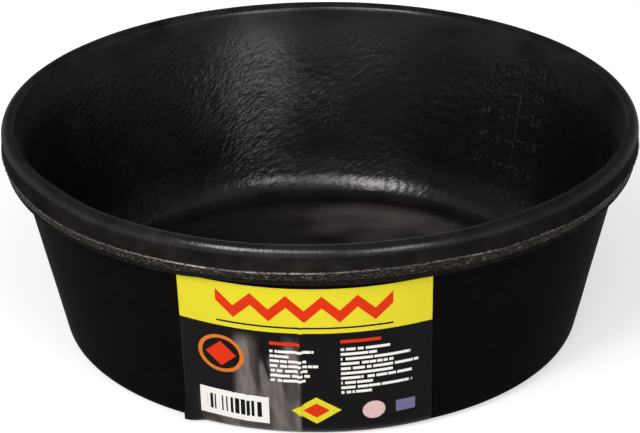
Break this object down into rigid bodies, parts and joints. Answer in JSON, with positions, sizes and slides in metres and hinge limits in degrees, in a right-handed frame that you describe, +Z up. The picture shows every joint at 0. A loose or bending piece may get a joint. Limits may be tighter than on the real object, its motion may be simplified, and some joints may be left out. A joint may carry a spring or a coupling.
{
  "type": "feed pan",
  "caption": "Round moulded rubber feed pan with a rolled rim, tapered wall, raised measuring scale inside and a printed film label on the front.",
  "frame": {"origin": "middle of the base, on the ground that the pan stands on", "axes": "+Z up through the pan's open top, -Y towards the side with the label, within a few degrees"},
  "size_m": [0.272, 0.272, 0.097],
  "materials": {
    "rubber": "moulded, satin, mottled inside, with a rough trimmed parting line",
    "label_film": "glossy printed film, black with a yellow band along its top"
  },
  "bodies": {
    "root": {"pan": "rubber", "label": "label_film"}
  },
  "joints": []
}
